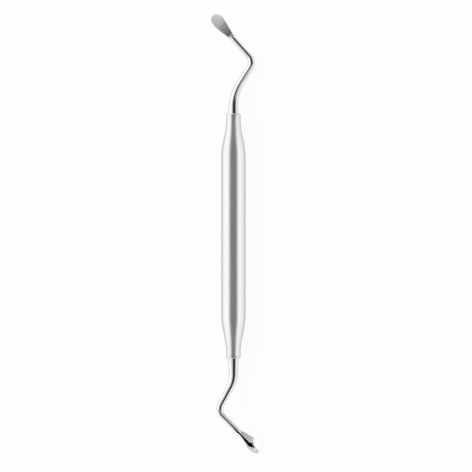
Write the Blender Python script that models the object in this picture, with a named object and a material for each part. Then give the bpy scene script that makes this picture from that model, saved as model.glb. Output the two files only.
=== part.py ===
"""Double-ended bone curette: a hollow satin handle with a forged working end in each mouth.

Units are metres and degrees. +Y runs along the handle, +Z is up, and the instrument lies as it
comes to rest: on its barrel and on the bowl of its lower end.
"""

import bmesh
import bpy
from math import asin, atan2, cos, exp, hypot, pi, radians, sin, sqrt, tan
from mathutils import Matrix, Vector

MM = 0.001

# Handle, one tube necked down at both mouths
HANDLE_LENGTH = 95.0 * MM
BARREL_DIAMETER = 9.5 * MM
BARREL_WALL = 1.0 * MM
MOUTH_DIAMETER = 5.56 * MM
MOUTH_ROUND = 0.4 * MM
COLLAR_LENGTH = 2.0 * MM
FLARE_LENGTH = 15.0 * MM
SOCKET_DEPTH = 14.0 * MM
HOLLOW_CONE = 3.0 * MM
HANDLE_FACETS = 26
FLARE_STEPS = 9
ROUND_STEPS = 2

# Joint between a tang and its socket
SOLDER_GAP = 0.05 * MM
TANG_LENGTH = 12.0 * MM
TANG_CHAMFER = 0.4 * MM

# Shank, thick at the mouth and fining down along the bent path
ROOT_DIAMETER = 4.06 * MM
FINE_DIAMETER = 2.0 * MM
TAPER_LENGTH = 15.0 * MM

# Centre lines, from the mouth to the tip, between the sharp corners of each path
UPPER_STEM = 7.5 * MM
UPPER_LIMB = 15.0 * MM
UPPER_BLADE = 24.2 * MM
UPPER_FIRST_BEND_ANGLE = 32.0
UPPER_SECOND_BEND_ANGLE = 73.7
UPPER_FIRST_RADIUS = 18.0 * MM
UPPER_BOWL_TURN = 0.0
LOWER_STEM = 8.7 * MM
LOWER_LIMB = 13.2 * MM
LOWER_BLADE = 22.9 * MM
LOWER_FIRST_BEND_ANGLE = 27.9
LOWER_SECOND_BEND_ANGLE = 72.8
LOWER_FIRST_RADIUS = 11.0 * MM
LOWER_BOWL_TURN = 58.7
UPPER_PATH = (
    UPPER_STEM,
    UPPER_LIMB,
    UPPER_FIRST_BEND_ANGLE,
    UPPER_SECOND_BEND_ANGLE,
    UPPER_FIRST_RADIUS,
)
LOWER_PATH = (
    LOWER_STEM,
    LOWER_LIMB,
    LOWER_FIRST_BEND_ANGLE,
    LOWER_SECOND_BEND_ANGLE,
    LOWER_FIRST_RADIUS,
)
SECOND_RADIUS = 3.85 * MM
DEGREES_PER_RING = 6.5
STRAIGHT_RINGS = 2

# Spoon, measured back from the tip and out from the axis of the blade
SPOON_WIDTH = 4.7 * MM
SPOON_WIDEST = 3.2 * MM
SPOON_REACH = 12.0 * MM
BACK_DEPTH = 1.95 * MM
BACK_REACH = 8.0 * MM
FACE_HEIGHT = 1.97 * MM
FACE_SLOPE_ANGLE = 11.7
FACE_START = 9.5 * MM
FACE_RUNOUT = 3.0 * MM
TIP_DROP = 0.2 * MM
LIP_CURVE = 2.5
FACE_SHARE = 0.75
FLANK_FOOT = 0.1 * MM
FLANK_CURVE = 1.3
LIP_EDGE = 0.25 * MM
LIP_NARROW = 5.0 * MM
LIP_FULL = 2.3 * MM

# Bowl, a dish sunk into the face
BOWL_LENGTH = 5.1 * MM
BOWL_DEPTH = 1.1 * MM
BOWL_TIP_WALL = 0.25 * MM
RIM_WIDTH = 0.28 * MM

# Points round one ring of a working end: face, two edges and back
FACE_STEPS = 10
EDGE_STEPS = 3
BACK_STEPS = 12
FACE_SPAN_ANGLE = 50.0
BOWL_RINGS = 12
RAMP_RINGS = 3
RUNOUT_RINGS = 5
TIP_RINGS = 2

SATIN_STEEL = ("satin_steel", (0.52, 0.52, 0.53, 1.0), 0.42)
POLISHED_STEEL = ("polished_steel", (0.66, 0.66, 0.67, 1.0), 0.12)


def ease(u):
    """Smooth step from 0 to 1 as a half cosine wave."""
    u = min(max(u, 0.0), 1.0)
    return (1.0 - cos(pi * u)) / 2.0


def mix(a, b, share):
    return a + (b - a) * share


def evenly(start, end, steps):
    """Equal steps from start to just before end."""
    return [mix(start, end, step / steps) for step in range(steps)]


def steel(name, colour, roughness):
    material = bpy.data.materials.new(name)
    material.use_nodes = True
    shader = material.node_tree.nodes["Principled BSDF"]
    shader.inputs["Base Color"].default_value = colour
    shader.inputs["Metallic"].default_value = 1.0
    shader.inputs["Roughness"].default_value = roughness
    return material


def add_object(name, bm, material, parent):
    """Turns a bmesh into a named object with outward faces and smooth shading."""
    bmesh.ops.recalc_face_normals(bm, faces=bm.faces)
    mesh = bpy.data.meshes.new(name)
    bm.to_mesh(mesh)
    bm.free()
    mesh.shade_smooth()
    mesh.set_sharp_from_angle(angle=radians(35.0))
    mesh.materials.append(material)
    obj = bpy.data.objects.new(name, mesh)
    bpy.context.scene.collection.objects.link(obj)
    obj.parent = parent
    return obj


def add_empty(name, parent=None):
    empty = bpy.data.objects.new(name, None)
    bpy.context.scene.collection.objects.link(empty)
    empty.parent = parent
    return empty


def outer_profile():
    """(radius, distance from the mouth) of the collar, from the mouth to the barrel."""
    mouth = MOUTH_DIAMETER / 2
    points = []
    for step in range(ROUND_STEPS + 1):
        turn = pi / 2 * step / ROUND_STEPS
        points.append((mouth - MOUTH_ROUND * (1 - sin(turn)), MOUTH_ROUND * (1 - cos(turn))))
    for step in range(FLARE_STEPS + 1):
        share = step / FLARE_STEPS
        radius = mix(mouth, BARREL_DIAMETER / 2, ease(share))
        points.append((radius, COLLAR_LENGTH + FLARE_LENGTH * share))
    return points


def inner_profile():
    """(radius, distance from the mouth) of the socket and of the cone that opens the hollow."""
    socket = ROOT_DIAMETER / 2 + SOLDER_GAP
    hollow = BARREL_DIAMETER / 2 - BARREL_WALL
    return [(socket, 0.0), (socket, SOCKET_DEPTH), (hollow, SOCKET_DEPTH + HOLLOW_CONE)]


def build_handle(material, parent):
    """Spins the closed section of the tube round +Y, with one facet flat on the floor."""
    half = HANDLE_LENGTH / 2
    outer = outer_profile()
    inner = inner_profile()
    section = [(r, y - half) for r, y in outer] + [(r, half - y) for r, y in reversed(outer)]
    section += [(r, half - y) for r, y in inner] + [(r, y - half) for r, y in reversed(inner)]
    bm = bmesh.new()
    turn = Matrix.Rotation(pi / HANDLE_FACETS, 4, "Y")
    verts = [bm.verts.new(turn @ Vector((0.0, y, -r))) for r, y in section]
    edges = [bm.edges.new((verts[i - 1], verts[i])) for i in range(len(verts))]
    bmesh.ops.spin(
        bm,
        geom=verts + edges,
        axis=(0.0, 1.0, 0.0),
        angle=2 * pi,
        steps=HANDLE_FACETS,
        use_merge=True,
    )
    return add_object("handle", bm, material, parent)


def shank_radius(distance):
    """Radius at a distance from the mouth along the path: constant inside the socket."""
    root, fine = ROOT_DIAMETER / 2, FINE_DIAMETER / 2
    return fine + (root - fine) * exp(-max(distance, 0.0) / TAPER_LENGTH)


def path_point(distance, stem, limb, first_bend, second_bend, first_radius):
    """Point and heading of the centre line at a distance along it.

    The heading is the angle from +Y towards +X. The first bend turns it up, the second back.
    """
    first, second = radians(first_bend), radians(second_bend)
    first_cut = first_radius * tan(first / 2)
    second_cut = SECOND_RADIUS * tan(second / 2)
    pieces = [
        (stem - first_cut, 0.0),
        (first_radius * first, 1 / first_radius),
        (limb - first_cut - second_cut, 0.0),
        (SECOND_RADIUS * second, -1 / SECOND_RADIUS),
        (float("inf"), 0.0),
    ]
    x, y, heading, left = 0.0, 0.0, 0.0, distance
    for length, bend in pieces:
        step = min(left, length)
        if bend:
            turned = heading + bend * step
            x += (cos(heading) - cos(turned)) / bend
            y += (sin(turned) - sin(heading)) / bend
            heading = turned
        else:
            x += sin(heading) * step
            y += cos(heading) * step
        left -= step
        if left <= 0.0:
            break
    return Vector((x, y, 0.0)), heading


def path_length(blade, stem, limb, first_bend, second_bend, first_radius):
    """Length of the centre line, with each sharp corner replaced by its arc."""
    total = stem + limb + blade
    for radius, bend in ((first_radius, first_bend), (SECOND_RADIUS, second_bend)):
        angle = radians(bend)
        total -= radius * (2 * tan(angle / 2) - angle)
    return total


def tip_round(t):
    """Share of the full width at a distance t from the tip: an ellipse up to the widest place."""
    if t >= SPOON_WIDEST:
        return 1.0
    return sqrt(1.0 - ((SPOON_WIDEST - t) / SPOON_WIDEST) ** 2)


def half_width(t, radius):
    if t < SPOON_WIDEST:
        return SPOON_WIDTH / 2 * tip_round(t)
    grown = ease((SPOON_REACH - t) / (SPOON_REACH - SPOON_WIDEST))
    return mix(radius, SPOON_WIDTH / 2, grown)


def face_height(t):
    """Height of the face: a ramp up to the heel of the bowl, then the lip falling to the tip."""
    heel = BOWL_TIP_WALL + BOWL_LENGTH
    if t > heel:
        return FACE_HEIGHT - (t - heel) * tan(radians(FACE_SLOPE_ANGLE))
    return mix(FACE_HEIGHT, -TIP_DROP, (1.0 - t / heel) ** LIP_CURVE)


def back_height(t, radius):
    if t < SPOON_WIDEST:
        return -mix(TIP_DROP, BACK_DEPTH, tip_round(t))
    grown = ease((BACK_REACH - t) / (BACK_REACH - SPOON_WIDEST))
    return -mix(radius, BACK_DEPTH, grown)


def bowl_share(t):
    """Share of the bowl's full width and depth at a distance t from the tip."""
    middle = BOWL_TIP_WALL + BOWL_LENGTH / 2
    off = (t - middle) / (BOWL_LENGTH / 2)
    return sqrt(max(1.0 - off * off, 0.0))


def flank_points(flat, wide, foot, top):
    """Edge of the face down to just before the widest line: a superellipse, nearly straight."""
    power = 2 / FLANK_CURVE
    return [
        (mix(flat, wide, sin(turn) ** power), mix(foot, top, cos(turn) ** power))
        for turn in evenly(0.0, pi / 2, EDGE_STEPS)
    ]


def spoon_ring(t, radius):
    """Points (across, up) round the spoon: face with its bowl, flank, back, flank."""
    wide = half_width(t, radius)
    top = face_height(t)
    bottom = back_height(t, radius)
    lip = ease((LIP_NARROW - t) / (LIP_NARROW - LIP_FULL))
    flat = wide * mix(FACE_SHARE, 1.0, lip)
    foot = mix(FLANK_FOOT, top - LIP_EDGE * tip_round(t), lip)
    inner = (SPOON_WIDTH / 2 - RIM_WIDTH) * max(bowl_share(t), sin(pi / BOWL_RINGS / 2))
    inner = min(inner, flat * (1 - 1 / FACE_STEPS))
    depth = BOWL_DEPTH * bowl_share(t) ** 2
    inside = FACE_STEPS - 2
    points = [(-flat, top)]
    for step in range(inside + 1):
        turn = pi * step / inside
        points.append((-inner * cos(turn), top - depth * sin(turn) ** 2))
    flank = flank_points(flat, wide, foot, top)
    points += flank
    for turn in evenly(0.0, pi, BACK_STEPS):
        points.append((wide * cos(turn), mix(foot, bottom, sin(turn))))
    points.append((-wide, foot))
    points += [(-across, up) for across, up in reversed(flank[1:])]
    return points


def round_ring(radius):
    """Points (across, up) round the shank, in the same order as those of the spoon."""
    edge = FACE_SPAN_ANGLE
    turns = evenly(-edge, edge, FACE_STEPS) + evenly(edge, 90.0, EDGE_STEPS)
    turns += evenly(90.0, 270.0, BACK_STEPS) + evenly(-90.0, -edge, EDGE_STEPS)
    return [(radius * sin(radians(turn)), radius * cos(radians(turn))) for turn in turns]


def ring_points(t, radius):
    """One section of a working end, from the round shank into the spoon."""
    share = ease((FACE_START + FACE_RUNOUT - t) / FACE_RUNOUT)
    if share <= 0.0:
        return round_ring(radius)
    spoon = spoon_ring(t, radius)
    plain = round_ring(radius)
    return [
        (mix(a[0], b[0], share), mix(a[1], b[1], share)) for a, b in zip(plain, spoon)
    ]


def ring_stations(path, blade):
    """Distances along the path where the sections stand, from the end of the tang to the tip."""
    total = path_length(blade, *path)
    stem, limb, first_bend, second_bend, first_radius = path
    first, second = radians(first_bend), radians(second_bend)
    bend_start = stem - first_radius * tan(first / 2)
    bend_end = bend_start + first_radius * first
    knee_start = bend_end + limb - first_radius * tan(first / 2) - SECOND_RADIUS * tan(second / 2)
    knee_end = knee_start + SECOND_RADIUS * second
    runout = total - FACE_START - FACE_RUNOUT
    ramp = total - FACE_START
    heel = total - BOWL_TIP_WALL - BOWL_LENGTH
    bowl_end = total - BOWL_TIP_WALL
    stations = [-TANG_LENGTH, TANG_CHAMFER - TANG_LENGTH]
    stations += evenly(0.0, bend_start, STRAIGHT_RINGS)
    stations += evenly(bend_start, bend_end, round(first_bend / DEGREES_PER_RING))
    stations += evenly(bend_end, knee_start, STRAIGHT_RINGS)
    stations += evenly(knee_start, knee_end, round(second_bend / DEGREES_PER_RING))
    stations += evenly(knee_end, runout, STRAIGHT_RINGS)
    stations += evenly(runout, ramp, RUNOUT_RINGS)
    stations += evenly(ramp, heel, RAMP_RINGS)
    for ring in range(BOWL_RINGS):
        stations.append(mix(heel, bowl_end, (1 - cos(pi * ring / BOWL_RINGS)) / 2))
    for ring in range(TIP_RINGS):
        stations.append(mix(total, bowl_end, ((TIP_RINGS - ring) / TIP_RINGS) ** 2))
    return stations, total


def build_working_end(name, path, blade, bowl_turn, parent):
    """Skins one forged end: tang, bent tapering shank and spoon with its bowl."""
    stations, total = ring_stations(path, blade)
    turn = radians(bowl_turn)
    bm = bmesh.new()

    def place(distance, across, up):
        centre, heading = path_point(max(distance, 0.0), *path)
        if distance < 0.0:
            centre = Vector((0.0, distance, 0.0))
        inward = Vector((-cos(heading), sin(heading), 0.0))
        upward = Vector((0.0, 0.0, 1.0))
        side = inward * cos(turn) - upward * sin(turn)
        out = inward * sin(turn) + upward * cos(turn)
        return bm.verts.new(centre + side * across + out * up)

    rings = []
    for number, distance in enumerate(stations):
        radius = shank_radius(distance) - (TANG_CHAMFER if number == 0 else 0.0)
        points = ring_points(total - distance, radius)
        rings.append([place(distance, across, up) for across, up in points])
    bm.faces.new(rings[0])
    for ring, following in zip(rings, rings[1:]):
        for i in range(len(ring)):
            bm.faces.new((ring[i - 1], ring[i], following[i], following[i - 1]))
    tip = place(total, 0.0, -TIP_DROP)
    for i in range(len(rings[-1])):
        bm.faces.new((rings[-1][i - 1], rings[-1][i], tip))
    return add_object(name, bm, steel(*POLISHED_STEEL), parent)


def rest_roll(ends, floor_depth):
    """Roll about the handle that brings the first point on the +X side down to the floor."""
    rolls = []
    for obj in ends:
        for vertex in obj.data.vertices:
            point = obj.matrix_local @ vertex.co
            reach = hypot(point.x, point.z)
            if point.x > 0.0 and reach > floor_depth:
                rolls.append(atan2(point.z, point.x) + asin(floor_depth / reach))
    return min(rolls)


def set_on_floor(root, objects):
    """Moves the root so that the bottom centre of the whole instrument is at the origin."""
    bpy.context.view_layer.update()
    points = [obj.matrix_world @ vertex.co for obj in objects for vertex in obj.data.vertices]
    lowest = [min(point[axis] for point in points) for axis in range(3)]
    highest = [max(point[axis] for point in points) for axis in range(3)]
    root.location = (
        -(lowest[0] + highest[0]) / 2,
        -(lowest[1] + highest[1]) / 2,
        -lowest[2],
    )
    bpy.context.view_layer.update()


def main():
    for obj in list(bpy.data.objects):
        bpy.data.objects.remove(obj)
    root = add_empty("instrument")
    rolled = add_empty("rolled_to_rest", root)
    handle = build_handle(steel(*SATIN_STEEL), root)
    upper = build_working_end("upper_spoon_end", UPPER_PATH, UPPER_BLADE, UPPER_BOWL_TURN, rolled)
    lower = build_working_end("lower_spoon_end", LOWER_PATH, LOWER_BLADE, LOWER_BOWL_TURN, rolled)
    upper.location = (0.0, HANDLE_LENGTH / 2, 0.0)
    lower.location = (0.0, -HANDLE_LENGTH / 2, 0.0)
    lower.rotation_euler = (0.0, 0.0, pi)
    bpy.context.view_layer.update()
    floor_depth = BARREL_DIAMETER / 2 * cos(pi / HANDLE_FACETS)
    rolled.rotation_euler = (0.0, rest_roll((upper, lower), floor_depth), 0.0)
    set_on_floor(root, (handle, upper, lower))


main()
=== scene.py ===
"""Looks of the double-ended bone curette: three steel pieces on a white light table."""

from math import asin, atan2, cos, exp, hypot, pi, radians, sin, sqrt, tan

import bmesh
import bpy
from mathutils import Matrix, Vector


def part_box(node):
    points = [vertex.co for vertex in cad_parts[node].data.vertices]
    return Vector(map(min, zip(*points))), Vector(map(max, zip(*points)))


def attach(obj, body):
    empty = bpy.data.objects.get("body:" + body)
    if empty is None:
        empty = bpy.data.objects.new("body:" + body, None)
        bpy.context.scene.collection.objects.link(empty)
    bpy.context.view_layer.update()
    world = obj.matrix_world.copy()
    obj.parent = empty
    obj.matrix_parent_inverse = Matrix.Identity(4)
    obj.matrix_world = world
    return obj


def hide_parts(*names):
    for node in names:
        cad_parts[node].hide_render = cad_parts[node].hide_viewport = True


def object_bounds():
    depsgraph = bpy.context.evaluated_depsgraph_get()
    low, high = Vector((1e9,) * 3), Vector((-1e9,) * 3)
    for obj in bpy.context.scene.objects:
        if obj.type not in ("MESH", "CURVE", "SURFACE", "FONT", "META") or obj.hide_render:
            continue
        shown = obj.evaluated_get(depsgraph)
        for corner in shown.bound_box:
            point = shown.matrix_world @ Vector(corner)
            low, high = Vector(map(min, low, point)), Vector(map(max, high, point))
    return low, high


bl_info = {
    "name": "Bone Curette",
    "version": (1, 0, 0),
    "blender": (4, 5, 0),
    "location": "3D Viewport > Sidebar > Curette",
    "description": "Builds the finished pieces of a double-ended bone curette and its light table",
    "category": "Object",
}

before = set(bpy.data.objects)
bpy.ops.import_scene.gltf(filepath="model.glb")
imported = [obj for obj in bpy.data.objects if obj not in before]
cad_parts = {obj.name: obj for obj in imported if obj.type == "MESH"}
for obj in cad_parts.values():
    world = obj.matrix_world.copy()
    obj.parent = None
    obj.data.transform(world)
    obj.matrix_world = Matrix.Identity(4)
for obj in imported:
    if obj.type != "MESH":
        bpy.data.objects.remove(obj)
CAD_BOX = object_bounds()
HANDLE_LOW, HANDLE_HIGH = (Vector(corner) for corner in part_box("handle"))
HANDLE_MIDDLE = (HANDLE_LOW + HANDLE_HIGH) / 2
HANDLE_SIZE = HANDLE_HIGH - HANDLE_LOW
MM = 0.001
WHITE = [1.0, 1.0, 1.0, 1.0]
BLACK = [0.0, 0.0, 0.0, 1.0]


def linear(hex_colour):
    """Turns an sRGB hex colour into linear red, green and blue."""
    parts = [int(hex_colour[i : i + 2], 16) / 255 for i in (1, 3, 5)]
    return [p / 12.92 if p <= 0.04045 else ((p + 0.055) / 1.055) ** 2.4 for p in parts]


def ease(u):
    """Smooth step from 0 to 1 as a half cosine wave."""
    u = min(max(u, 0.0), 1.0)
    return (1.0 - cos(pi * u)) / 2.0


def mix(a, b, share):
    """Value at a share of the way from a to b."""
    return a + (b - a) * share


def length(name, description, millimetres):
    return bpy.props.FloatProperty(
        name=name, description=description, default=millimetres * MM, unit="LENGTH"
    )


def angle(name, description, degrees):
    return bpy.props.FloatProperty(
        name=name, description=description, default=radians(degrees), unit="ROTATION"
    )


def factor(name, description, value):
    return bpy.props.FloatProperty(
        name=name, description=description, default=value, subtype="FACTOR"
    )


def brightness(name, description, value):
    return bpy.props.FloatProperty(name=name, description=description, default=value)


def colour(name, description, hex_colour):
    return bpy.props.FloatVectorProperty(
        name=name, description=description, default=linear(hex_colour), subtype="COLOR"
    )


class CuretteHandle(bpy.types.PropertyGroup):
    """Sizes of the tube. Its length and barrel come from the CAD model."""

    length: length("Length", "Mouth to mouth", HANDLE_SIZE.y / MM)
    barrel: length("Barrel", "Outer diameter of the barrel", HANDLE_SIZE.z / MM)
    wall: length("Wall", "Thickness of the barrel's wall", 1.0)
    mouth: length("Mouth", "Outer diameter at each mouth", 5.56)
    mouth_round: length("Mouth round", "Radius of the mouth's outer edge", 0.4)
    socket: length("Socket", "Diameter of the hole for the tang", 4.16)
    socket_depth: length("Socket depth", "Depth of the hole for the tang", 14.0)
    hollow_cone: length("Cone", "Length of the cone from the socket to the hollow", 3.0)
    collar: length("Collar", "Nearly straight length at each mouth", 2.0)
    flare: length("Flare", "Length over which a collar widens to the barrel", 15.0)


class CuretteUpperPath(bpy.types.PropertyGroup):
    """Centre line of the end whose spoon faces the viewer."""

    stem: length("Stem", "Mouth to the first corner", 7.5)
    limb: length("Limb", "First corner to the second", 15.0)
    blade: length("Blade", "Second corner to the tip", 24.18)
    first_bend: angle("First bend", "Turn away from the handle's axis", 32.0)
    second_bend: angle("Second bend", "Turn back across the axis", 73.7)
    first_radius: length("First radius", "Radius of the first bend", 18.0)
    second_radius: length("Second radius", "Radius of the second bend", 3.85)
    bowl_turn: angle("Bowl turn", "Turn of the spoon about its blade", 0.0)
    # Painted shade: this end's face looks up into the tent's dim opening, so it gets all of the
    # neck's painted shade
    neck_painted_shade: factor("Neck shade", "Share of the neck's dark tone that this end has", 1.0)


class CuretteLowerPath(bpy.types.PropertyGroup):
    """Centre line of the end whose spoon is seen from its side."""

    stem: length("Stem", "Mouth to the first corner", 8.7)
    limb: length("Limb", "First corner to the second", 13.2)
    blade: length("Blade", "Second corner to the tip", 22.88)
    first_bend: angle("First bend", "Turn away from the handle's axis", 27.9)
    second_bend: angle("Second bend", "Turn back across the axis", 72.8)
    first_radius: length("First radius", "Radius of the first bend", 11.0)
    second_radius: length("Second radius", "Radius of the second bend", 3.85)
    bowl_turn: angle("Bowl turn", "Turn of the spoon about its blade", 58.7)
    # Painted shade: this end's face turns to the tent's bright side, so it gets less of the neck's
    # painted shade
    neck_painted_shade: factor("Neck shade", "Share of the neck's dark tone that this end has", 0.45)


class CuretteSpoon(bpy.types.PropertyGroup):
    """Sizes that both forged ends share, from the tang to the tip of the spoon.

    The spoon is 0.01 mm narrower and each blade 0.02 mm shorter than in the CAD model, so that
    the smooth forms stay inside the box of the faceted ones.
    """

    tang: length("Tang", "Length inside the socket", 12.0)
    tang_chamfer: length("Tang chamfer", "Chamfer at the tang's end", 0.4)
    root: length("Root", "Diameter of the shank at the mouth", 4.06)
    fine: length("Fine", "Diameter that the shank tapers towards", 2.0)
    taper: length("Taper", "Length over which most of the taper happens", 15.0)
    width: length("Width", "Widest place of the spoon", 4.69)
    widest: length("Widest", "Tip to the widest place", 3.2)
    reach: length("Reach", "Tip to where the spoon grows out of the shank", 12.0)
    back_depth: length("Back depth", "Axis to the back of the spoon", 1.95)
    back_reach: length("Back reach", "Tip to where the back starts to swell", 8.0)
    face_height: length("Face height", "Axis to the face at the bowl's heel", 1.97)
    face_slope: angle("Face slope", "Slope of the face behind the bowl", 11.7)
    face_start: length("Face start", "Tip to where the face is fully formed", 9.5)
    face_runout: length("Face run-out", "Length of the change from round to face", 3.0)
    face_share: factor("Face share", "Width of the face over that of the spoon", 0.75)
    tip_drop: length("Tip drop", "Axis down to the tip", 0.2)
    lip_curve: factor("Lip curve", "Power of the lip's fall to the tip", 2.5)
    lip_edge: length("Lip edge", "Upright land below the lip", 0.25)
    lip_narrow: length("Lip narrow", "Tip to where the lip starts to widen", 5.0)
    lip_full: length("Lip full", "Tip to where the lip is as wide as the spoon", 2.3)
    flank_foot: length("Flank foot", "Height of the widest line behind the bowl", 0.1)
    flank_curve: factor("Flank curve", "Power of the flank: 1 is flat, 2 is round", 1.3)
    bowl_length: length("Bowl length", "Length of the bowl's mouth", 5.1)
    bowl_depth: length("Bowl depth", "Depth of the bowl below its lip", 1.1)
    bowl_tip_wall: length("Tip wall", "Tip to the bowl's edge", 0.25)
    rim: length("Rim", "Width of the land round the bowl", 0.28)


class CuretteFinish(bpy.types.PropertyGroup):
    """Colours and gloss of the three steel finishes."""

    blasted: colour("Blasted", "Bead-blasted stainless steel of the handle", "#E8E8E9")
    polished: colour("Polished", "Mirror-polished stainless steel of the shanks", "#F4F4F5")
    honed: colour("Honed", "Matt stainless steel at the tip of a spoon", "#F4F3F3")
    # The neck colour is painted shade: the grey of the tent's dim opening seen in the matt steel,
    # laid on as colour towards the neck
    neck: colour("Neck", "Matt stainless steel at the neck of a spoon", "#7A7878")
    # Partly painted shade: a rim tint far darker than steel's own, which draws thin grey edge lines
    # standing in for the shadow under the instrument seen in the steel
    rim: colour("Rim", "Tint of polished steel seen at a glancing angle", "#8A8A8C")
    blasted_roughness: factor("Blasted roughness", "Blur of the handle", 0.36)
    honed_metallic: factor("Honed mirror", "Share of the matt steel's light that is mirrored", 0.12)
    polished_roughness: factor("Polished roughness", "Blur of the shanks", 0.07)
    honed_roughness: factor("Honed roughness", "Blur at the tip of a spoon", 0.75)
    neck_roughness: factor("Neck roughness", "Blur at the neck of a spoon", 0.6)


class CuretteStage(bpy.types.PropertyGroup):
    """Light table, tent and camera."""

    paper: colour("Paper", "White paper under the instrument", "#E8E8E8")
    paper_glow: factor("Paper glow", "Share of the paper's white that has no shadow", 0.85)
    tent: brightness("Tent", "Brightness of the white tent", 1.2)
    opening: angle("Opening", "Half angle of the dim opening over the instrument", 45.0)
    opening_right: angle("Opening right", "Tilt of the opening to the right", 14.0)
    opening_down: angle("Opening down", "Tilt of the opening to the lower end", 5.0)
    opening_edge: angle("Opening edge", "Width of the opening's soft edge", 30.0)
    opening_light: factor("Opening light", "Brightness inside the opening", 0.57)
    lens: bpy.props.FloatProperty(
        name="Lens", description="Focal length", default=135.0, unit="CAMERA"
    )
    picture: length("Picture", "Height of the picture at the instrument", 183.5)
    offset: length("Offset", "Handle's axis to the middle of the picture", 1.0)


def tip_round(spoon, t):
    """Share of the full width at a distance t from the tip: an ellipse up to the widest place."""
    if t >= spoon.widest:
        return 1.0
    return sqrt(1.0 - ((spoon.widest - t) / spoon.widest) ** 2)


def shank_radius(spoon, distance):
    """Radius at a distance from the mouth along the path: constant inside the socket."""
    fine = spoon.fine / 2
    return fine + (spoon.root / 2 - fine) * exp(-max(distance, 0.0) / spoon.taper)


def half_width(spoon, t, radius):
    """Half width at a distance t from the tip, growing out of the round shank."""
    if t < spoon.widest:
        return spoon.width / 2 * tip_round(spoon, t)
    grown = ease((spoon.reach - t) / (spoon.reach - spoon.widest))
    return mix(radius, spoon.width / 2, grown)


def face_height(spoon, t):
    """Height of the face: a ramp up to the heel of the bowl, then the lip falling to the tip."""
    heel = spoon.bowl_tip_wall + spoon.bowl_length
    if t > heel:
        return spoon.face_height - (t - heel) * tan(spoon.face_slope)
    return mix(spoon.face_height, -spoon.tip_drop, (1.0 - t / heel) ** spoon.lip_curve)


def back_height(spoon, t, radius):
    """Height of the back: the shank's underside, then the swelling below the bowl."""
    if t < spoon.widest:
        return -mix(spoon.tip_drop, spoon.back_depth, tip_round(spoon, t))
    grown = ease((spoon.back_reach - t) / (spoon.back_reach - spoon.widest))
    return -mix(radius, spoon.back_depth, grown)


def bowl_share(spoon, t):
    """Share of the bowl's full width at a distance t from the tip."""
    middle = spoon.bowl_tip_wall + spoon.bowl_length / 2
    off = (t - middle) / (spoon.bowl_length / 2)
    return sqrt(max(1.0 - off * off, 0.0))


LAND_STEPS = 3
BOWL_STEPS = 40
FLANK_STEPS = 12
BACK_STEPS = 48
FACE_STEPS = BOWL_STEPS + 2 * LAND_STEPS
# Half angle in degrees of the part of the round shank that becomes the face
FACE_SPAN = 50.0
# Least width of the bowl, as a share of its full width: a slit where there is no bowl
BOWL_CLOSED = 0.03
# Greatest width of the bowl, as a share of the face's width
BOWL_OPEN = 0.9


def spoon_ring(spoon, t, radius):
    """Points (across, up) round the spoon: face with its bowl, flank, back, flank."""
    wide = half_width(spoon, t, radius)
    top = face_height(spoon, t)
    bottom = back_height(spoon, t, radius)
    lip = ease((spoon.lip_narrow - t) / (spoon.lip_narrow - spoon.lip_full))
    flat = wide * mix(spoon.face_share, 1.0, lip)
    foot = mix(spoon.flank_foot, top - spoon.lip_edge * tip_round(spoon, t), lip)
    share = bowl_share(spoon, t)
    inner = (spoon.width / 2 - spoon.rim) * max(share, BOWL_CLOSED)
    inner = min(inner, flat * BOWL_OPEN)
    depth = spoon.bowl_depth * share**2
    land = [mix(flat, inner, step / LAND_STEPS) for step in range(LAND_STEPS)]
    points = [(-across, top) for across in land]
    for step in range(BOWL_STEPS + 1):
        turn = pi * step / BOWL_STEPS
        points.append((-inner * cos(turn), top - depth * sin(turn) ** 2))
    points += [(across, top) for across in reversed(land[1:])]
    power = 2 / spoon.flank_curve
    flank = []
    for step in range(FLANK_STEPS):
        turn = pi / 2 * step / FLANK_STEPS
        flank.append((mix(flat, wide, sin(turn) ** power), mix(foot, top, cos(turn) ** power)))
    points += flank
    for step in range(BACK_STEPS):
        turn = pi * step / BACK_STEPS
        points.append((wide * cos(turn), mix(foot, bottom, sin(turn))))
    points.append((-wide, foot))
    points += [(-across, up) for across, up in reversed(flank[1:])]
    return points


def round_ring(radius):
    """Points (across, up) round the shank, in the same order as those of the spoon."""
    turns = [mix(-FACE_SPAN, FACE_SPAN, step / FACE_STEPS) for step in range(FACE_STEPS)]
    turns += [mix(FACE_SPAN, 90.0, step / FLANK_STEPS) for step in range(FLANK_STEPS)]
    turns += [mix(90.0, 270.0, step / BACK_STEPS) for step in range(BACK_STEPS)]
    turns += [mix(270.0, 360.0 - FACE_SPAN, step / FLANK_STEPS) for step in range(FLANK_STEPS)]
    return [(radius * sin(radians(turn)), radius * cos(radians(turn))) for turn in turns]


def ring_points(spoon, t, radius):
    """One section of a working end, from the round shank into the spoon."""
    share = ease((spoon.face_start + spoon.face_runout - t) / spoon.face_runout)
    plain = round_ring(radius)
    if share <= 0.0:
        return plain
    shaped = spoon_ring(spoon, t, radius)
    return [(mix(a[0], b[0], share), mix(a[1], b[1], share)) for a, b in zip(plain, shaped)]


def path_pieces(path):
    """(length, curvature) of each straight and arc, up to the start of the blade."""
    first_cut = path.first_radius * tan(path.first_bend / 2)
    second_cut = path.second_radius * tan(path.second_bend / 2)
    return [
        (path.stem - first_cut, 0.0),
        (path.first_radius * path.first_bend, 1 / path.first_radius),
        (path.limb - first_cut - second_cut, 0.0),
        (path.second_radius * path.second_bend, -1 / path.second_radius),
        (path.blade - second_cut, 0.0),
    ]


def path_length(path):
    """Length of the centre line from the mouth to the tip."""
    return sum(piece for piece, _ in path_pieces(path))


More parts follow.
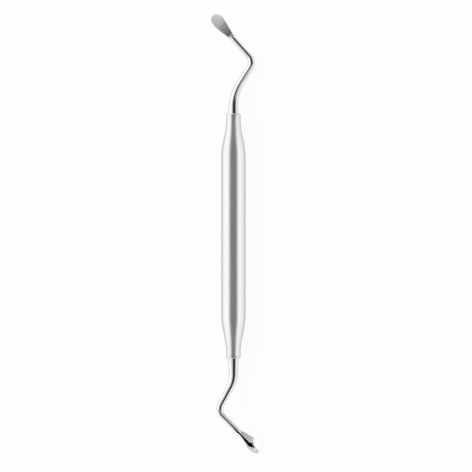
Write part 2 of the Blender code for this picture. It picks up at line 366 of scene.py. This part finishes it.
def path_point(path, distance):
    """Point and heading of the centre line at a distance along it from the mouth."""
    x, y, heading, left = 0.0, min(distance, 0.0), 0.0, max(distance, 0.0)
    for piece, bend in path_pieces(path):
        step = min(left, piece)
        if bend:
            turned = heading + bend * step
            x += (cos(heading) - cos(turned)) / bend
            y += (sin(turned) - sin(heading)) / bend
            heading = turned
        else:
            x += sin(heading) * step
            y += cos(heading) * step
        left -= step
    return Vector((x, y, 0.0)), heading


SHANK_SPACING = 0.35 * MM
SPOON_SPACING = 0.12 * MM
TIP_STEPS = 26
# Attribute with the share of painted shade, growing from the tip towards the neck; it also blends
# the roughness
FROM_TIP = "from_tip"


def ring_stations(path, spoon):
    """Distances along the path where the sections stand, from the tang's end to the tip."""
    total = path_length(path)
    spoon_start = total - spoon.face_start - spoon.face_runout
    heel = total - spoon.bowl_tip_wall - spoon.bowl_length
    widest = total - spoon.widest

    def even(start, end, spacing):
        steps = max(round((end - start) / spacing), 1)
        return [mix(start, end, step / steps) for step in range(steps)]

    stations = [-spoon.tang, spoon.tang_chamfer - spoon.tang, -spoon.tang_chamfer]
    start = 0.0
    for piece, _ in path_pieces(path)[:-1]:
        stations += even(start, start + piece, SHANK_SPACING)
        start += piece
    stations += even(start, spoon_start, SHANK_SPACING)
    stations += even(spoon_start, heel, SPOON_SPACING)
    stations += even(heel, widest, SPOON_SPACING)
    stations += [total - spoon.bowl_tip_wall]
    stations += [
        total - spoon.widest * (1 - cos(pi / 2 * step / TIP_STEPS))
        for step in range(TIP_STEPS, 0, -1)
    ]
    return sorted(stations), total


def end_rings(path, spoon):
    """Rings of points of one end in its own frame: mouth at the origin, handle along -Y."""
    stations, total = ring_stations(path, spoon)

    def place(distance, across, up):
        centre, heading = path_point(path, distance)
        inward = Vector((-cos(heading), sin(heading), 0.0))
        upward = Vector((0.0, 0.0, 1.0))
        side = inward * cos(path.bowl_turn) - upward * sin(path.bowl_turn)
        out = inward * sin(path.bowl_turn) + upward * cos(path.bowl_turn)
        return centre + side * across + out * up

    rings = []
    for number, distance in enumerate(stations):
        radius = shank_radius(spoon, distance) - (spoon.tang_chamfer if number == 0 else 0.0)
        points = ring_points(spoon, total - distance, radius)
        rings.append([place(distance, across, up) for across, up in points])
    return rings, place(total, 0.0, -spoon.tip_drop), [total - s for s in stations]


def end_placement(handle, lower):
    """Places an end at its mouth of the handle, before the roll to rest."""
    side = -1.0 if lower else 1.0
    turn = Matrix.Rotation(pi if lower else 0.0, 4, "Z")
    return Matrix.Translation((0.0, side * handle.length / 2, 0.0)) @ turn


def rest_roll(scene):
    """Roll about the handle that brings the first point on the +X side down to the floor."""
    floor_depth = scene.curette_handle.barrel / 2
    rolls = []
    for path, lower in ((scene.curette_upper, False), (scene.curette_lower, True)):
        placement = end_placement(scene.curette_handle, lower)
        rings, _, _ = end_rings(path, scene.curette_spoon)
        for point in [placement @ point for ring in rings for point in ring]:
            reach = hypot(point.x, point.z)
            if point.x > 0.0 and reach > floor_depth:
                rolls.append(atan2(point.z, point.x) + asin(floor_depth / reach))
    return min(rolls)


SHARP_ANGLE = radians(38.0)


def add_piece(name, node, bm, materials, placement):
    """Turns a bmesh into a finished piece that stands for a CAD node."""
    bmesh.ops.recalc_face_normals(bm, faces=bm.faces)
    mesh = bpy.data.meshes.new(name)
    bm.to_mesh(mesh)
    bm.free()
    mesh.transform(placement)
    mesh.shade_smooth()
    mesh.set_sharp_from_angle(angle=SHARP_ANGLE)
    for material in materials:
        mesh.materials.append(material)
    piece = bpy.data.objects.new(name, mesh)
    bpy.context.scene.collection.objects.link(piece)
    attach(piece, "root")
    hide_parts(node)


def add_node(tree, kind, inputs=None, **settings):
    """Adds a node, makes its settings, and fills or links its inputs."""
    new = tree.nodes.new(kind)
    for key, value in settings.items():
        setattr(new, key, value)
    for key, value in (inputs or {}).items():
        if isinstance(value, bpy.types.NodeSocket):
            tree.links.new(value, new.inputs[key])
        else:
            new.inputs[key].default_value = value
    return new


def new_material(name):
    """An empty material and its node tree."""
    material = bpy.data.materials.new(name)
    material.use_nodes = True
    material.node_tree.nodes.clear()
    return material, material.node_tree


# Values between which a noise pattern mostly lies
NOISE_LOW = 0.3
NOISE_HIGH = 0.7


def shades(tree, pattern, tone, spread):
    """Colour ramp between a darker and a lighter tone of one colour."""
    ramp = add_node(tree, "ShaderNodeValToRGB", {"Fac": pattern})
    ramp.color_ramp.elements[0].position = NOISE_LOW
    ramp.color_ramp.elements[1].position = NOISE_HIGH
    ramp.color_ramp.elements[0].color = [c * (1 - spread) for c in tone] + [1.0]
    ramp.color_ramp.elements[1].color = [min(c * (1 + spread), 1.0) for c in tone] + [1.0]
    return ramp.outputs["Color"]


def between(tree, pattern, low, high):
    """Maps a pattern to a range of roughness."""
    return add_node(
        tree, "ShaderNodeMapRange", {"Value": pattern, "To Min": low, "To Max": high}
    ).outputs["Result"]


ROUGHNESS_SPREAD = 0.03


def blasted_steel(finish):
    """Bead-blasted stainless steel: soft, even sheen with a fine sparkle and no direction.

    Glass beads leave pits of about 0.1 mm. They are drawn at 0.3 mm so that they show. The
    steel reflects less just short of its edge, which draws a thin grey line there. This is partly
    real and partly painted shade: the rim tint deepens steel's slight dip into the line, which
    stands in for the shadow under the instrument seen in the steel.
    """
    pit = 0.3 * MM
    cloud = 6.0 * MM
    material, tree = new_material("bead_blasted_stainless_steel")
    place = add_node(tree, "ShaderNodeTexCoord").outputs["Object"]
    pits = add_node(
        tree, "ShaderNodeTexNoise", {"Vector": place, "Scale": 1 / pit, "Detail": 3.0}
    ).outputs["Fac"]
    clouds = add_node(
        tree, "ShaderNodeTexNoise", {"Vector": place, "Scale": 1 / cloud, "Detail": 2.0}
    ).outputs["Fac"]
    bump = add_node(
        tree, "ShaderNodeBump", {"Strength": 0.06, "Distance": 0.02 * MM, "Height": pits}
    )
    roughness = finish.blasted_roughness
    shader = add_node(
        tree,
        "ShaderNodeBsdfPrincipled",
        {
            "Base Color": shades(tree, pits, finish.blasted, 0.05),
            "Metallic": 1.0,
            "Specular Tint": [*finish.rim, 1.0],
            "Roughness": between(
                tree, clouds, roughness - ROUGHNESS_SPREAD, roughness + ROUGHNESS_SPREAD
            ),
            "Normal": bump.outputs["Normal"],
        },
    )
    add_node(tree, "ShaderNodeOutputMaterial", {"Surface": shader.outputs["BSDF"]})
    return material


def polished_steel(finish):
    """Mirror-polished stainless steel: sharp reflections with a faint haze from the mop.

    The mop leaves hazy patches of a few millimetres and hardly any lines. Steel reflects less
    at a glancing angle just short of the edge, which draws a thin grey line along each edge. This
    is partly real and partly painted shade: the rim tint deepens steel's slight dip into the line,
    which stands in for the shadow under the instrument seen in the steel.
    """
    patch = 2.5 * MM
    material, tree = new_material("mirror_polished_stainless_steel")
    place = add_node(tree, "ShaderNodeTexCoord").outputs["Object"]
    patches = add_node(
        tree, "ShaderNodeTexNoise", {"Vector": place, "Scale": 1 / patch, "Detail": 2.0}
    ).outputs["Fac"]
    bump = add_node(
        tree, "ShaderNodeBump", {"Strength": 0.08, "Distance": 0.05 * MM, "Height": patches}
    )
    roughness = finish.polished_roughness
    shader = add_node(
        tree,
        "ShaderNodeBsdfPrincipled",
        {
            "Base Color": shades(tree, patches, finish.polished, 0.02),
            "Metallic": 1.0,
            "Specular Tint": [*finish.rim, 1.0],
            "Roughness": between(
                tree, patches, roughness - ROUGHNESS_SPREAD, roughness + ROUGHNESS_SPREAD
            ),
            "Normal": bump.outputs["Normal"],
        },
    )
    add_node(tree, "ShaderNodeOutputMaterial", {"Surface": shader.outputs["BSDF"]})
    return material


# Share by which the darkest and the lightest grains differ from the colour
GRAIN_SPREAD = 0.22


def honed_steel(finish):
    """Matt stainless steel of the spoon's face: grainy, as stoned and then blasted.

    Its fine pits scatter most of the light, as paper does, so the grey hardly changes with the
    slope. The tip is the palest and the neck the greyest, as the photograph shows them. The
    tip's pale tone is the steel's own and a guess. The grey towards the neck is painted shade:
    the tent's dim opening seen in the matt face, laid on as colour.
    The grain is about 0.08 mm. It is drawn at 0.3 mm so that it shows.
    """
    grain = 0.3 * MM
    material, tree = new_material("matt_honed_stainless_steel_painted_shade")
    place = add_node(tree, "ShaderNodeTexCoord").outputs["Object"]
    grains = add_node(
        tree, "ShaderNodeTexNoise", {"Vector": place, "Scale": 1 / grain, "Detail": 4.0}
    ).outputs["Fac"]
    bump = add_node(
        tree, "ShaderNodeBump", {"Strength": 0.2, "Distance": 0.03 * MM, "Height": grains}
    )
    along = add_node(
        tree, "ShaderNodeAttribute", attribute_name=FROM_TIP, attribute_type="GEOMETRY"
    ).outputs["Fac"]
    # Blends the tip's own pale tone into the painted shade at the neck
    tone_and_painted_shade = add_node(
        tree,
        "ShaderNodeMix",
        {
            0: along,
            6: shades(tree, grains, finish.honed, GRAIN_SPREAD),
            7: shades(tree, grains, finish.neck, GRAIN_SPREAD),
        },
        data_type="RGBA",
    )
    shader = add_node(
        tree,
        "ShaderNodeBsdfPrincipled",
        {
            "Base Color": tone_and_painted_shade.outputs[2],
            "Metallic": finish.honed_metallic,
            "Roughness": between(tree, along, finish.honed_roughness, finish.neck_roughness),
            "Normal": bump.outputs["Normal"],
        },
    )
    add_node(tree, "ShaderNodeOutputMaterial", {"Surface": shader.outputs["BSDF"]})
    return material


MOUTH_STEPS = 8
FLARE_STEPS = 60
HANDLE_SIDES = 144


def collar_profile(handle):
    """(radius, distance from the mouth) from the mouth's inner edge out to the barrel."""
    mouth, edge = handle.mouth / 2, handle.mouth_round
    points = [(handle.socket / 2, handle.socket_depth), (handle.socket / 2, 0.0)]
    for step in range(MOUTH_STEPS + 1):
        turn = pi / 2 * step / MOUTH_STEPS
        points.append((mouth - edge * (1 - sin(turn)), edge * (1 - cos(turn))))
    for step in range(FLARE_STEPS + 1):
        share = step / FLARE_STEPS
        radius = mix(mouth, handle.barrel / 2, ease(share))
        points.append((radius, handle.collar + handle.flare * share))
    return points


class CURETTE_OT_handle(bpy.types.Operator):
    """Builds the hollow satin handle by spinning its section"""

    bl_idname = "curette.handle"
    bl_label = "Handle"

    def execute(self, context):
        handle = context.scene.curette_handle
        half = handle.length / 2
        hollow = handle.barrel / 2 - handle.wall
        cone_end = handle.socket_depth + handle.hollow_cone
        profile = collar_profile(handle)
        section = [(r, y - half) for r, y in profile]
        section += [(r, half - y) for r, y in reversed(profile)]
        section += [(hollow, half - cone_end), (hollow, cone_end - half)]
        bm = bmesh.new()
        rings = []
        for radius, y in section:
            turns = [2 * pi * side / HANDLE_SIDES for side in range(HANDLE_SIDES)]
            rings.append([bm.verts.new((radius * sin(a), y, -radius * cos(a))) for a in turns])
        for ring, following in zip(rings, rings[1:] + rings[:1]):
            for i in range(HANDLE_SIDES):
                bm.faces.new((ring[i - 1], ring[i], following[i], following[i - 1]))
        materials = [blasted_steel(context.scene.curette_finish)]
        placement = Matrix.Translation(HANDLE_MIDDLE)
        add_piece("satin_handle", "handle", bm, materials, placement)
        return {"FINISHED"}


# Steps of the flank, from the edge of the face, that are blasted on the lower end
MATT_STEPS = 5
# Share of the face's run-out that is blasted
MATT_RUNOUT = 1 / 3


def is_matt(spoon, depth, t, lower):
    """Whether a strip of the spoon is blasted, by its steps from the edge of the face.

    The matt finish stops in a sharp line across the neck, as at the edge of a mask. On the
    upper end it takes in the face, the bowl and both flanks. On the lower end it takes in the
    ramp behind the bowl, the upper part of both flanks there, and the back below the bowl.
    """
    if t > spoon.face_start + spoon.face_runout * MATT_RUNOUT:
        return False
    if not lower:
        return depth <= FLANK_STEPS
    if t > spoon.bowl_tip_wall + spoon.bowl_length:
        return depth <= MATT_STEPS
    return depth > FLANK_STEPS


def build_end(context, name, node, path, lower):
    """Skins one forged end, with its matt places set off from the polished rest."""
    scene = context.scene
    spoon = scene.curette_spoon
    rings, tip, to_tip = end_rings(path, spoon)
    bm = bmesh.new()
    # Share of the neck's painted shade, rising from nothing at the tip
    shade = path.neck_painted_shade / spoon.face_start
    from_tip = bm.verts.layers.float.new(FROM_TIP)
    rows = []
    for ring, t in zip(rings, to_tip):
        rows.append([bm.verts.new(point) for point in ring])
        for vert in rows[-1]:
            vert[from_tip] = t * shade
    count = len(rows[0])
    bm.faces.new(rows[0])
    for row, following, t in zip(rows, rows[1:], to_tip):
        for i in range(count):
            face = bm.faces.new((row[i - 1], row[i], following[i], following[i - 1]))
            place = i or count
            depth = max(min(place - FACE_STEPS, count + 1 - place), 0)
            face.material_index = int(is_matt(spoon, depth, t, lower))
    last = bm.verts.new(tip)
    for i in range(count):
        bm.faces.new((rows[-1][i - 1], rows[-1][i], last))
    placement = Matrix.Translation(HANDLE_MIDDLE) @ Matrix.Rotation(rest_roll(scene), 4, "Y")
    placement = placement @ end_placement(scene.curette_handle, lower)
    finish = scene.curette_finish
    materials = [polished_steel(finish), honed_steel(finish)]
    add_piece(name, node, bm, materials, placement)


class CURETTE_OT_working_ends(bpy.types.Operator):
    """Builds both forged ends: tang, bent tapering shank, spoon and bowl"""

    bl_idname = "curette.working_ends"
    bl_label = "Working ends"

    def execute(self, context):
        scene = context.scene
        build_end(context, "upper_end", "upper_spoon_end", scene.curette_upper, False)
        build_end(context, "lower_end", "lower_spoon_end", scene.curette_lower, True)
        return {"FINISHED"}


PAPER_LIGHT = 1.05


def paper_material(stage):
    """Uncoated white paper: it keeps a faint soft shadow and is white to eye and mirror."""
    material, tree = new_material("white_paper")
    paper = add_node(
        tree, "ShaderNodeBsdfDiffuse", {"Color": [*stage.paper, 1.0]}
    ).outputs["BSDF"]
    rays = add_node(tree, "ShaderNodeLightPath")
    seen = add_node(
        tree,
        "ShaderNodeMath",
        {0: rays.outputs["Is Camera Ray"], 1: rays.outputs["Is Glossy Ray"]},
        operation="ADD",
    )
    seen = add_node(
        tree,
        "ShaderNodeMath",
        {0: seen.outputs[0], 1: rays.outputs["Is Transmission Ray"]},
        operation="ADD",
        use_clamp=True,
    )
    share = add_node(
        tree, "ShaderNodeMath", {0: seen.outputs[0], 1: stage.paper_glow}, operation="MULTIPLY"
    )
    glow = add_node(tree, "ShaderNodeEmission", {"Color": WHITE, "Strength": PAPER_LIGHT})
    surface = add_node(
        tree,
        "ShaderNodeMixShader",
        {"Fac": share.outputs[0], 1: paper, 2: glow.outputs["Emission"]},
    )
    add_node(tree, "ShaderNodeOutputMaterial", {"Surface": surface.outputs["Shader"]})
    return material


def light_tent(scene, towards):
    """White tent all round, with a dim opening in one direction."""
    stage = scene.curette_stage
    world = bpy.data.worlds.new("light_tent")
    world.use_nodes = True
    tree = world.node_tree
    tree.nodes.clear()
    direction = add_node(tree, "ShaderNodeTexCoord").outputs["Generated"]
    facing = add_node(
        tree, "ShaderNodeVectorMath", {0: direction, 1: towards}, operation="DOT_PRODUCT"
    )
    level = add_node(
        tree,
        "ShaderNodeMapRange",
        {
            "Value": facing.outputs["Value"],
            "From Min": cos(stage.opening + stage.opening_edge),
            "From Max": cos(stage.opening),
            "To Min": stage.tent,
            "To Max": stage.opening_light,
        },
        interpolation_type="SMOOTHSTEP",
    )
    light = add_node(
        tree, "ShaderNodeBackground", {"Color": WHITE, "Strength": level.outputs["Result"]}
    )
    white = add_node(tree, "ShaderNodeBackground", {"Color": WHITE, "Strength": 1.0})
    rays = add_node(tree, "ShaderNodeLightPath")
    surface = add_node(
        tree,
        "ShaderNodeMixShader",
        {
            "Fac": rays.outputs["Is Camera Ray"],
            1: light.outputs["Background"],
            2: white.outputs["Background"],
        },
    )
    add_node(tree, "ShaderNodeOutputWorld", {"Surface": surface.outputs["Shader"]})
    scene.world = world


def add_sheet(name, corners, material, faces=None):
    """A flat stage piece, of one face unless its faces are given."""
    mesh = bpy.data.meshes.new(name)
    mesh.from_pydata(corners, [], faces or [range(len(corners))])
    mesh.materials.append(material)
    sheet = bpy.data.objects.new(name, mesh)
    bpy.context.scene.collection.objects.link(sheet)
    return sheet


def add_net(name, corners, density):
    """A black net high over the instrument."""
    hide_from_camera(add_sheet(name, corners, net_material(name, density)))


def add_handle_card(over, stage):
    """White card with a grey stripe along its middle, over the handle."""
    half = HANDLE_CARD_HALF
    corners = [
        over @ (Vector((x, y, HANDLE_CARD_HEIGHT)) * MM)
        for x in (-half, -STRIPE_HALF, STRIPE_HALF, half)
        for y in (-half, half)
    ]
    faces = [(i, i + 2, i + 3, i + 1) for i in (0, 2, 4)]
    card = add_sheet("handle_card", corners, card_material("white_card", stage.tent), faces)
    card.data.materials.append(card_material("grey_stripe", STRIPE_LIGHT))
    card.data.polygons[1].material_index = 1
    hide_from_camera(card)


def add_spoon_card(scene, stage):
    """Black and white card over the lower spoon, laid out in a frame at its tip."""
    path = scene.curette_lower
    placement = Matrix.Translation(HANDLE_MIDDLE) @ Matrix.Rotation(rest_roll(scene), 4, "Y")
    placement = placement @ end_placement(scene.curette_handle, True)
    tip, heading = path_point(path, path_length(path))
    placement = placement @ Matrix.Translation(tip) @ Matrix.Rotation(-heading, 4, "Z")
    corners = [
        placement @ (Vector((-x, -t, SPOON_CARD_HEIGHT)) * MM) for x, t in BLACK_PART + WHITE_PART
    ]
    black = range(len(BLACK_PART))
    white = range(len(BLACK_PART), len(corners))
    card = add_sheet("spoon_card", corners, card_material("black_card", 0.0), [black, white])
    card.data.materials.append(card_material("white_spoon_card", stage.tent))
    card.data.polygons[1].material_index = 1
    hide_from_camera(card)


def hide_from_camera(sheet):
    """Leaves a sheet to mirrors alone: out of the picture, without shadow or stray light."""
    sheet.visible_camera = sheet.visible_diffuse = sheet.visible_shadow = False


def net_material(name, density):
    """Black cotton net, which holds back the share of the light that its threads cover."""
    material, tree = new_material(name)
    thread = add_node(tree, "ShaderNodeBsdfDiffuse", {"Color": BLACK})
    hole = add_node(tree, "ShaderNodeBsdfTransparent")
    weave = add_node(
        tree,
        "ShaderNodeMixShader",
        {"Fac": density, 1: hole.outputs["BSDF"], 2: thread.outputs["BSDF"]},
    )
    add_node(tree, "ShaderNodeOutputMaterial", {"Surface": weave.outputs["Shader"]})
    return material


def card_material(name, light):
    """Matt card, lit evenly by the tent, which a mirror shows as one flat tone."""
    material, tree = new_material(name)
    tone = add_node(tree, "ShaderNodeEmission", {"Color": WHITE, "Strength": light})
    add_node(tree, "ShaderNodeOutputMaterial", {"Surface": tone.outputs["Emission"]})
    return material


# Half the side of the paper in metres
FLOOR_REACH = 3.0
# Name, height, then left, right, near and far edge in mm from the middle of the handle, density.
# A separate program fitted them and the tent's opening to the greys of the photographed shanks.
# The opening and the last row are that fit, rounded. The other rows were partly changed.
NETS = (
    ("upper_black_net", 300.0, -90.0, 275.0, 84.0, 432.0, 0.95),
    ("lower_black_net", 305.0, -85.0, 308.0, -302.0, -86.0, 0.93),
    ("upper_grey_net", 310.0, 55.0, 860.0, 70.0, 858.0, 0.4),
    ("lower_grey_net", 315.0, -837.0, 100.0, -577.0, -157.0, 0.61),
)
# White card with a grey stripe over the handle: height and half sizes in mm
HANDLE_CARD_HEIGHT = 11.0
HANDLE_CARD_HALF = 49.0
STRIPE_HALF = 6.8
STRIPE_LIGHT = 0.17
# Card over the lower spoon: height, then the corners of its black part and of its white part
# in mm, across the blade and from the tip
SPOON_CARD_HEIGHT = 8.0
BLACK_PART = (
    (-45.0, 2.0),
    (0.5, 2.0),
    (0.5, 12.0),
    (-0.5, 15.0),
    (-4.5, 15.0),
    (-9.0, 11.0),
    (-45.0, 11.0),
)
WHITE_PART = ((2.0, -14.0), (60.0, -14.0), (60.0, 1.0), (2.0, 1.0))


class CURETTE_OT_stage(bpy.types.Operator):
    """Sets the white paper, the light tent, its nets and cards, and the camera"""

    bl_idname = "curette.stage"
    bl_label = "Stage"

    def execute(self, context):
        scene = context.scene
        stage = scene.curette_stage
        roll = rest_roll(scene)
        square = Vector((sin(roll), 0.0, cos(roll)))
        across = Vector((cos(roll), 0.0, -sin(roll)))
        along = Vector((0.0, 1.0, 0.0))
        corners = [(-1, -1), (1, -1), (1, 1), (-1, 1)]
        floor = [(x * FLOOR_REACH, y * FLOOR_REACH, CAD_BOX[0][2]) for x, y in corners]
        add_sheet("paper", floor, paper_material(stage))
        for name, height, left, right, near, far, density in NETS:
            edges = [
                HANDLE_MIDDLE + (square * height + across * x + along * y) * MM
                for x, y in ((left, near), (right, near), (right, far), (left, far))
            ]
            add_net(name, edges, density)
        turn = Matrix((across, along, square)).transposed().to_4x4()
        add_handle_card(Matrix.Translation(HANDLE_MIDDLE) @ turn, stage)
        add_spoon_card(scene, stage)
        opening = square + across * tan(stage.opening_right) - along * tan(stage.opening_down)
        light_tent(scene, opening.normalized())
        data = bpy.data.cameras.new("camera")
        data.lens = stage.lens
        camera = bpy.data.objects.new("camera", data)
        distance = stage.picture * stage.lens / data.sensor_width
        target = HANDLE_MIDDLE + across * stage.offset
        camera.matrix_world = Matrix.Translation(target + square * distance) @ turn
        scene.collection.objects.link(camera)
        scene.camera = camera
        scene.view_settings.view_transform = "Standard"
        return {"FINISHED"}


class CURETTE_PT_panel(bpy.types.Panel):
    """Lists the operators in the order in which they run"""

    bl_idname = "CURETTE_PT_panel"
    bl_label = "Bone Curette"
    bl_space_type = "VIEW_3D"
    bl_region_type = "UI"
    bl_category = "Curette"

    def draw(self, context):
        for operator in OPERATORS:
            self.layout.operator(operator.bl_idname)


GROUPS = {
    "curette_handle": CuretteHandle,
    "curette_upper": CuretteUpperPath,
    "curette_lower": CuretteLowerPath,
    "curette_spoon": CuretteSpoon,
    "curette_finish": CuretteFinish,
    "curette_stage": CuretteStage,
}
OPERATORS = (CURETTE_OT_handle, CURETTE_OT_working_ends, CURETTE_OT_stage)


def register():
    for name, group in GROUPS.items():
        bpy.utils.register_class(group)
        setattr(bpy.types.Scene, name, bpy.props.PointerProperty(type=group))
    for operator in OPERATORS:
        bpy.utils.register_class(operator)
    bpy.utils.register_class(CURETTE_PT_panel)


def unregister():
    bpy.utils.unregister_class(CURETTE_PT_panel)
    for operator in reversed(OPERATORS):
        bpy.utils.unregister_class(operator)
    for name, group in reversed(GROUPS.items()):
        delattr(bpy.types.Scene, name)
        bpy.utils.unregister_class(group)


def main():
    register()
    bpy.ops.curette.handle()
    bpy.ops.curette.working_ends()
    bpy.ops.curette.stage()


if __name__ == "__main__":
    main()
